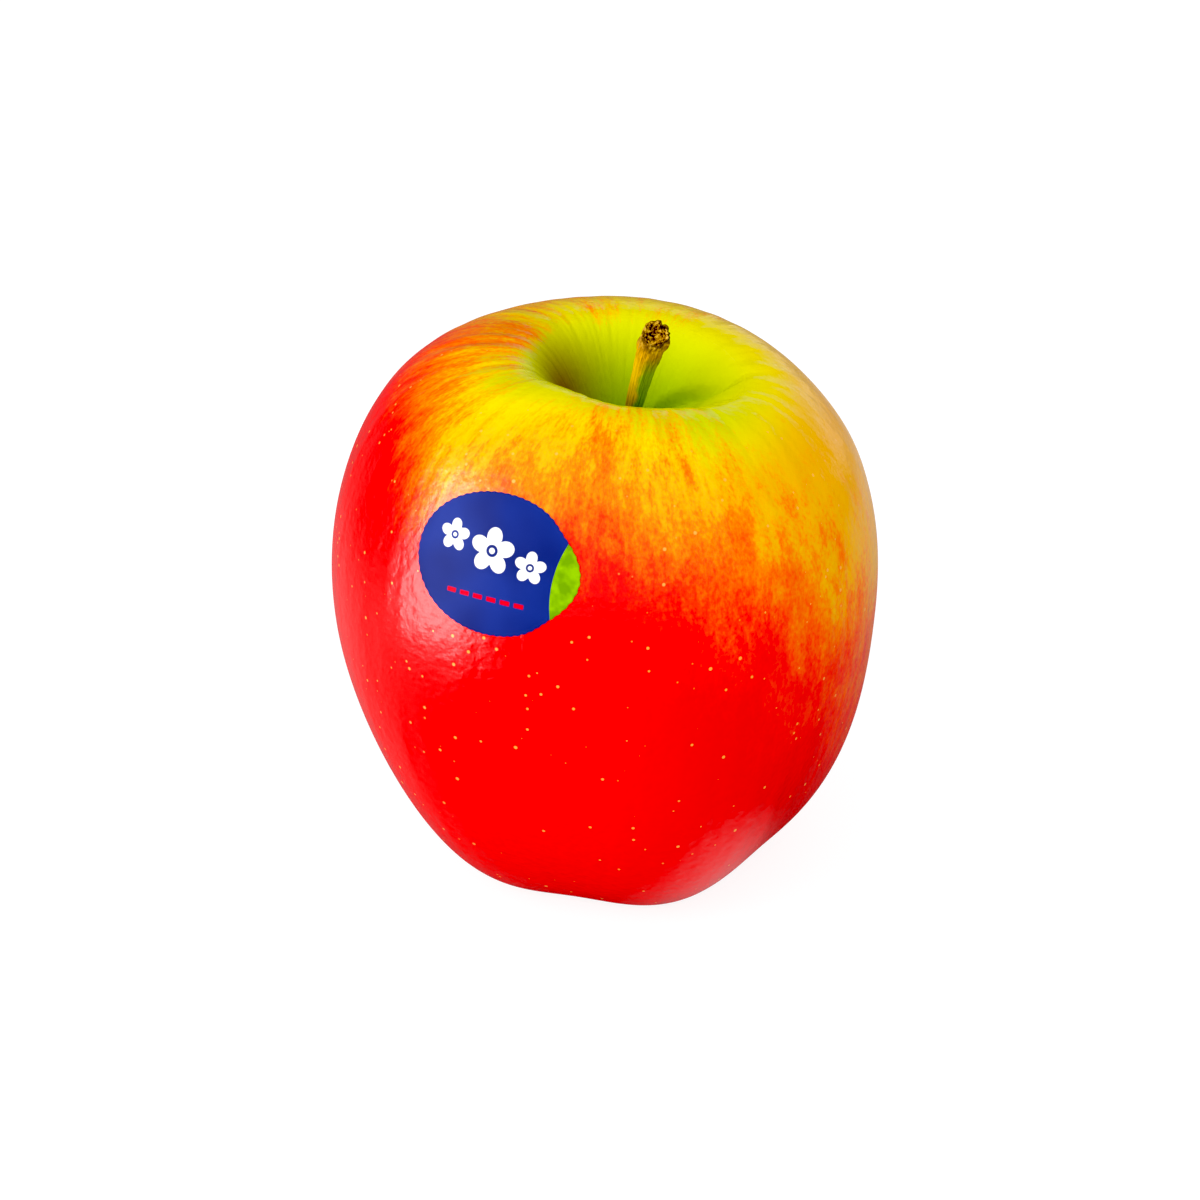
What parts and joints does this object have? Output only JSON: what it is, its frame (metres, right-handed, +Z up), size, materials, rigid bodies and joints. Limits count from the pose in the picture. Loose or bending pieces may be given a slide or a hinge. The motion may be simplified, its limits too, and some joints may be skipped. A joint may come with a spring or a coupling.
{
  "type": "apple",
  "caption": "Whole eating apple, red over yellow, with a short woody stem in a deep cavity, an oval film sticker on its shoulder and a dried calyx below.",
  "frame": {"origin": "on the resting plane, below the middle of the fruit's outline", "axes": "+Z up from the base to the stem end; -Y is the side where the sticker faces, turned a little towards -X"},
  "size_m": [0.0722, 0.0722, 0.0783],
  "materials": {
    "skin": "waxed, glossy",
    "stem": "dry, woody",
    "film": "printed film, satin",
    "calyx": "dried, matte"
  },
  "bodies": {
    "root": {"fruit": "skin", "stem": "stem", "fruit_sticker": "film", "sepal_1": "calyx", "sepal_2": "calyx", "sepal_3": "calyx", "sepal_4": "calyx", "sepal_5": "calyx", "stamens": "calyx"}
  },
  "joints": []
}
